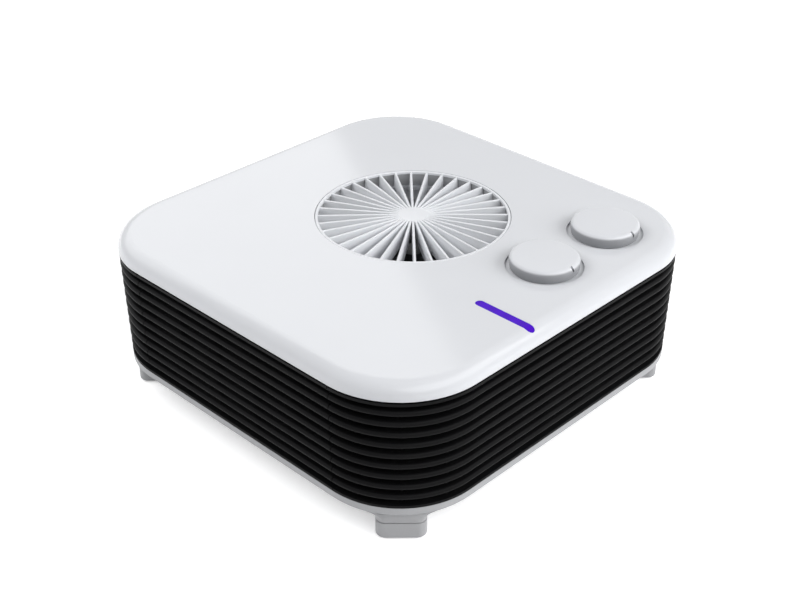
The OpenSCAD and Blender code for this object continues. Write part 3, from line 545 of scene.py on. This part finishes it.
def buildFoot(corner, look):
    sole, top = heightsOf("foot_" + corner)
    centre = middleOf("pad_" + corner)
    padTop = heightsOf("pad_" + corner)[1]
    blockCentre = [value + math.copysign(look["outward"], value) for value in centre]
    limit = halfAcross("base_tray") - look["baseStep"] - look["baseCorner"]
    toe, flare = look["toe"], look["flare"]
    seam, seamDepth = top - look["seamDrop"], look["seamDepth"]
    profile = [*arcPoints((-toe, sole + toe), toe, -90, 0, look["toeSteps"]),
               (0.0, seam), (-seamDepth, seam),
               (-seamDepth, seam + look["seamHeight"]), (0.0, seam + look["seamHeight"]),
               *arcPoints((flare, top - flare), flare, 180, 90, look["flareSteps"])]
    bm = bmesh.new()
    loftOutlines(bm, [footOutline(blockCentre, grow, height, look, limit) for grow, height in profile])
    name = "foot" + corner.title().replace("_", "")
    piece = meshPiece(name, bm, "housing", "foot_grey", "foot_" + corner)
    padRadius = halfAcross("pad_" + corner) + look["padGap"]
    shelf, shelfRadius, boreRadius = look["shelf"], look["shelfRadius"], look["boreRadius"]
    recess = bmesh.new()
    turnProfile(recess, centre, [
        (0.0, sole - toe), (padRadius, sole - toe), (padRadius, padTop), (shelfRadius, padTop),
        (shelfRadius, shelf), (boreRadius, shelf), (boreRadius, top + toe), (0.0, top + toe)],
        look["segments"])
    cutBy(piece, name + "Recess", recess)


for corner in ("front_left", "front_right", "rear_left", "rear_right"):
    buildFoot(corner, foot)
print("feet built")


# Heating coils: each row is one run of wound resistance wire

coil = dict(rows=3, outerRadius=0.0022, wireRadius=0.00035, wireSteps=1, turnPitch=0.0026,
            pointsPerTurn=10, openAngle=8.0, openMiddle=108.5)  # degrees left open, and where


def buildCoil(name, node, look):
    centre = middleOf(node)
    low, high = heightsOf(node)
    ringRadius = halfAcross(node) - look["outerRadius"]
    windRadius = look["outerRadius"] - look["wireRadius"]
    sweep = math.radians(360 - look["openAngle"])
    start = math.radians(look["openMiddle"] + look["openAngle"] / 2)
    turns = round(ringRadius * sweep / look["turnPitch"])
    count = turns * look["pointsPerTurn"]
    rowPitch = (high - low - 2 * look["outerRadius"]) / (look["rows"] - 1)
    curve = bpy.data.curves.new(name, "CURVE")
    curve.dimensions = "3D"
    curve.bevel_depth = look["wireRadius"]
    curve.bevel_resolution = look["wireSteps"]
    curve.use_fill_caps = True
    for row in range(look["rows"]):
        height = low + look["outerRadius"] + row * rowPitch
        spline = curve.splines.new("POLY")
        spline.points.add(count)
        for i, point in enumerate(spline.points):
            bearing = start + sweep * i / count
            wind = 2 * math.pi * i / look["pointsPerTurn"]
            reach = ringRadius + windRadius * math.cos(wind)
            point.co = (*roundPoint(centre, reach, bearing, height + windRadius * math.sin(wind)), 1.0)
    addPiece(name, curve, "housing", "coil_wire", node)


buildCoil("coilWireLow", "heating_coil_low", coil)
buildCoil("coilWireHigh", "heating_coil_high", coil)
print("coils wound")


# Floor, light and camera

floorLook = dict(size=8.0, colour=(0.90, 0.90, 0.905), tintDrift=0.004, patchSize=0.4,
                 roughness=0.9, specular=0.0, glowColour=(1.0, 1.0, 1.0),
                 glow=0.42, farGlow=1.0, fadeFrom=0.5, fadeTo=1.6)
worldLook = dict(colour=(1.0, 1.0, 1.0), seen=1.0)
cameraLook = dict(place=(-0.4793, -0.4697, 0.4591), azimuth=-45.67, elevation=31.52,
                  lens=61.53, sensor=36.0, nearest=0.01)
lampTarget = (0.0, 0.0, 0.06)
lamps = {
    # The big box hangs level behind the heater, and its near edge shows as a line on the glossy cover
    "backSoftbox": dict(place=(0.291, 1.873, 1.2), turn=59.07, size=(2.0, 2.4), power=17.5),
    "frontPanel": dict(place=(0.1, -1.15, 1.2), size=(2.4, 1.1), power=17.0),
    # Both side lamps stay out of the gloss, so that the cover doesn't glare in low views
    "rightPanel": dict(place=(0.75, -1.35, 0.75), size=(1.8, 1.0), power=22.0, inGloss=False),
    "leftPanel": dict(place=(-0.9, 0.75, 1.2), size=(1.6, 1.1), power=20.4, inGloss=False),
}


def backgroundShare(tree):
    # 1 for the rays that show the pale studio: seen directly, in gloss or through glass
    path = tree.nodes.new("ShaderNodeLightPath")
    seen = mathNode(tree, "MAXIMUM", path.outputs["Is Camera Ray"], path.outputs["Is Glossy Ray"])
    return mathNode(tree, "MAXIMUM", seen, path.outputs["Is Transmission Ray"])


def makeFloor(look):
    half = look["size"] / 2
    mesh = bpy.data.meshes.new("studioFloor")
    mesh.from_pydata([(-half, -half, 0), (half, -half, 0), (half, half, 0), (-half, half, 0)],
                     [], [(0, 1, 2, 3)])
    floor = addObject("studioFloor", mesh)
    material, tree, shader = newMaterial("studioPaper")
    tint = placeGroup(tree, tintDrift, {
        "Tint": (*look["colour"], 1.0), "Drift": look["tintDrift"], "Patch Size": look["patchSize"]})
    tree.links.new(tint.outputs["Color"], shader.inputs["Base Color"])
    shader.inputs["Roughness"].default_value = look["roughness"]
    shader.inputs["Specular IOR Level"].default_value = look["specular"]
    shader.inputs["Emission Color"].default_value = (*look["glowColour"], 1.0)
    # The paper glows more where the lamps no longer reach it, so that it stays white to its edge
    away = tree.nodes.new("ShaderNodeVectorMath")
    away.operation = "LENGTH"
    tree.links.new(placeOf(tree), away.inputs[0])
    past = mathNode(tree, "SUBTRACT", away.outputs["Value"], look["fadeFrom"])
    far = mathNode(tree, "DIVIDE", past, look["fadeTo"] - look["fadeFrom"], True)
    rise = mathNode(tree, "MULTIPLY", far, look["farGlow"] - look["glow"])
    glow = mathNode(tree, "ADD", rise, look["glow"])
    strength = mathNode(tree, "MULTIPLY", backgroundShare(tree), glow)
    tree.links.new(strength, shader.inputs["Emission Strength"])
    mesh.materials.append(material)


def makeWorld(look):
    world = bpy.data.worlds.new("studioWorld")
    world.use_nodes = True
    tree = world.node_tree
    background = tree.nodes["Background"]
    background.inputs["Color"].default_value = (*look["colour"], 1.0)
    strength = mathNode(tree, "MULTIPLY", backgroundShare(tree), look["seen"])
    tree.links.new(strength, background.inputs["Strength"])
    bpy.context.scene.world = world


def aimAt(thing, place, aim):
    back = (Vector(place) - Vector(aim)).normalized()
    thing.location = place
    thing.rotation_mode = "QUATERNION"
    thing.rotation_quaternion = back.to_track_quat("Z", "Y")


def makeLamp(name, look):
    light = bpy.data.lights.new(name, "AREA")
    light.shape = "RECTANGLE"
    light.size, light.size_y = look["size"]
    light.energy = look["power"]
    lamp = addObject(name, light)
    lamp.visible_glossy = look.get("inGloss", True)
    if "turn" in look:
        lamp.location = look["place"]
        lamp.rotation_euler = (0, 0, math.radians(look["turn"]))
    else:
        aimAt(lamp, look["place"], lampTarget)


def makeCamera(look):
    data = bpy.data.cameras.new("studioCamera")
    data.sensor_width = look["sensor"]
    data.lens = look["lens"]
    data.clip_start = look["nearest"]
    camera = addObject("studioCamera", data)
    turn, rise = math.radians(look["azimuth"]), math.radians(look["elevation"])
    back = Vector((math.sin(turn) * math.cos(rise), -math.cos(turn) * math.cos(rise), math.sin(rise)))
    aimAt(camera, look["place"], Vector(look["place"]) - back)
    bpy.context.scene.camera = camera


makeFloor(floorLook)
makeWorld(worldLook)
for lampName, lampLook in lamps.items():
    makeLamp(lampName, lampLook)
makeCamera(cameraLook)
bpy.context.scene.view_settings.view_transform = "Standard"
print("floor, lamps and camera placed")
